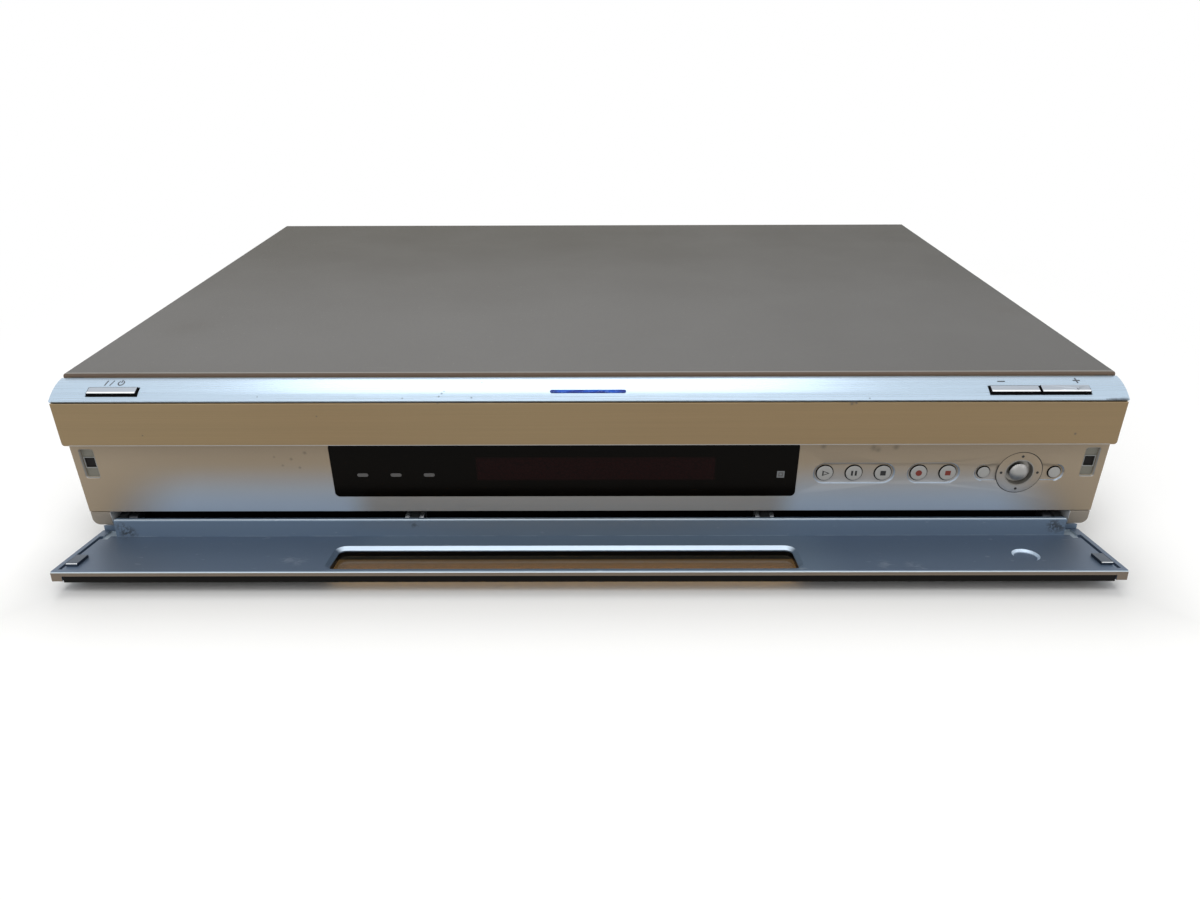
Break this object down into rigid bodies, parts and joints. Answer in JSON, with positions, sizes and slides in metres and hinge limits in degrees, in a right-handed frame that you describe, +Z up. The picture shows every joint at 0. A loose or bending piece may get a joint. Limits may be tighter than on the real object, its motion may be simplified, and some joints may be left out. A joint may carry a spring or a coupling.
{
  "type": "digital video recorder",
  "caption": "Flat hard-disk video recorder with a drop-down front door, display window, push keys, navigation stick and rear sockets.",
  "frame": {"origin": "on the floor under the middle of the part with its door open", "axes": "+X to the right along the front, +Y to the back, +Z up"},
  "size_m": [0.43, 0.3266, 0.0785],
  "materials": {
    "cover_paint": "satin warm grey sheet steel",
    "strip_silver": "bright brushed silver",
    "visor_champagne": "brushed champagne metallic",
    "fascia_silver": "fine metallic silver",
    "door_silver": "fine metallic silver",
    "smoked_plate": "clear smoked acrylic",
    "display_smoke": "nearly black smoked acrylic",
    "lens_grey": "unlit grey lens",
    "light_blue": "blue light pipe",
    "black_plastic": "matte black",
    "pad_rubber": "matte",
    "zinc_steel": "zinc plated",
    "screw_steel": "satin",
    "stick_metal": "satin dark metal",
    "strike_steel": "dull plated steel",
    "magnet_ferrite": "sintered black",
    "board_green": "solder mask",
    "board_brown": "paper laminate",
    "tube_glass": "vacuum tube glass",
    "component_mix": "lacquered parts",
    "bare_aluminium": "cast and machined",
    "mirror_disc": "polished",
    "nickel": "nickel plated",
    "gold_plate": "gold plated",
    "cable_grey": "flat cable"
  },
  "bodies": {
    "case": {"bottom_chassis": "zinc_steel", "rear_panel": "zinc_steel", "top_cover": "cover_paint", "front_frame": "fascia_silver", "visor_panel": "visor_champagne", "top_strip": "strip_silver", "lower_fascia": "fascia_silver", "display_window": "display_smoke", "led_lenses": "lens_grey", "blue_light_bar": "light_blue", "catch_housings": "black_plastic", "catch_magnets": "magnet_ferrite", "stick_collar": "stick_metal", "stick_base": "black_plastic", "display_board": "board_green", "display_tube": "tube_glass", "strip_board": "board_green", "tact_switches": "black_plastic", "hinge_brackets": "zinc_steel", "hinge_pins": "screw_steel", "feet": "black_plastic", "foot_pads": "pad_rubber", "cover_screws": "screw_steel", "rear_screws": "screw_steel", "main_board": "board_green", "main_chips": "black_plastic", "heatsink": "bare_aluminium", "tuner_modules": "zinc_steel", "aerial_connectors": "nickel", "av_jack_block": "black_plastic", "av_jack_barrels": "gold_plate", "video_port": "nickel", "power_board": "board_brown", "power_components": "component_mix", "mains_inlet": "black_plastic", "fan_frame": "black_plastic", "disk_bracket": "zinc_steel", "disk_base": "bare_aluminium", "disk_lid": "bare_aluminium", "ribbon_cable": "cable_grey", "drive_cable": "cable_grey"},
    "door": {"door_frame": "door_silver", "door_plate": "smoked_plate", "door_strikes": "strike_steel"},
    "power_key": {"power_key": "strip_silver"},
    "program_minus_key": {"program_minus_key": "strip_silver"},
    "program_plus_key": {"program_plus_key": "strip_silver"},
    "play_key": {"play_key": "fascia_silver"},
    "pause_key": {"pause_key": "fascia_silver"},
    "stop_key": {"stop_key": "fascia_silver"},
    "record_key": {"record_key": "fascia_silver"},
    "record_stop_key": {"record_stop_key": "fascia_silver"},
    "return_key": {"return_key": "fascia_silver"},
    "menu_key": {"menu_key": "fascia_silver"},
    "stick_gimbal": {"stick_gimbal": "screw_steel"},
    "stick_stem": {"stick_stem": "screw_steel"},
    "stick_cap": {"stick_cap": "stick_metal"},
    "fan_rotor": {"fan_rotor": "black_plastic"},
    "disk_platters": {"disk_platters": "mirror_disc"},
    "disk_actuator": {"disk_actuator": "bare_aluminium"}
  },
  "joints": [
    {"name": "door_hinge", "type": "hinge", "parent": "case", "child": "door", "pos_m": [0, -0.12344, 0.0115], "axis": [-1, 0, 0], "range_deg": [0, 83]},
    {"name": "power_press", "type": "slide", "parent": "case", "child": "power_key", "axis": [0, 0.3867, -0.9222], "range_m": [0, 0.0005], "stiffness_N_per_m": 1500},
    {"name": "program_minus_press", "type": "slide", "parent": "case", "child": "program_minus_key", "axis": [0, 0.3867, -0.9222], "range_m": [0, 0.0005], "stiffness_N_per_m": 1500},
    {"name": "program_plus_press", "type": "slide", "parent": "case", "child": "program_plus_key", "axis": [0, 0.3867, -0.9222], "range_m": [0, 0.0005], "stiffness_N_per_m": 1500},
    {"name": "play_press", "type": "slide", "parent": "case", "child": "play_key", "axis": [0, 1, 0], "range_m": [0, 0.0005], "stiffness_N_per_m": 1500},
    {"name": "pause_press", "type": "slide", "parent": "case", "child": "pause_key", "axis": [0, 1, 0], "range_m": [0, 0.0005], "stiffness_N_per_m": 1500},
    {"name": "stop_press", "type": "slide", "parent": "case", "child": "stop_key", "axis": [0, 1, 0], "range_m": [0, 0.0005], "stiffness_N_per_m": 1500},
    {"name": "record_press", "type": "slide", "parent": "case", "child": "record_key", "axis": [0, 1, 0], "range_m": [0, 0.0005], "stiffness_N_per_m": 1500},
    {"name": "record_stop_press", "type": "slide", "parent": "case", "child": "record_stop_key", "axis": [0, 1, 0], "range_m": [0, 0.0005], "stiffness_N_per_m": 1500},
    {"name": "return_press", "type": "slide", "parent": "case", "child": "return_key", "axis": [0, 1, 0], "range_m": [0, 0.0005], "stiffness_N_per_m": 1500},
    {"name": "menu_press", "type": "slide", "parent": "case", "child": "menu_key", "axis": [0, 1, 0], "range_m": [0, 0.0005], "stiffness_N_per_m": 1500},
    {"name": "stick_up_down", "type": "hinge", "parent": "case", "child": "stick_gimbal", "pos_m": [0.1805, -0.12214, 0.0365], "axis": [1, 0, 0], "range_deg": [-7, 7], "stiffness_Nm_per_rad": 0.08},
    {"name": "stick_left_right", "type": "hinge", "parent": "stick_gimbal", "child": "stick_stem", "pos_m": [0.1805, -0.12214, 0.0365], "axis": [0, 0, 1], "range_deg": [-7, 7], "stiffness_Nm_per_rad": 0.08},
    {"name": "stick_press", "type": "slide", "parent": "stick_stem", "child": "stick_cap", "axis": [0, 1, 0], "range_m": [0, 0.0004], "stiffness_N_per_m": 1500},
    {"name": "fan_spin", "type": "hinge", "parent": "case", "child": "fan_rotor", "pos_m": [-0.0727, 0.14826, 0.0403], "axis": [0, 1, 0], "continuous": true},
    {"name": "platter_spin", "type": "hinge", "parent": "case", "child": "disk_platters", "pos_m": [-0.0525, -0.04424, 0.0303], "axis": [0, 0, 1], "continuous": true},
    {"name": "actuator_swing", "type": "hinge", "parent": "case", "child": "disk_actuator", "pos_m": [-0.0257, 0.02826, 0.0303], "axis": [0, 0, 1], "range_deg": [-14, 12]}
  ]
}
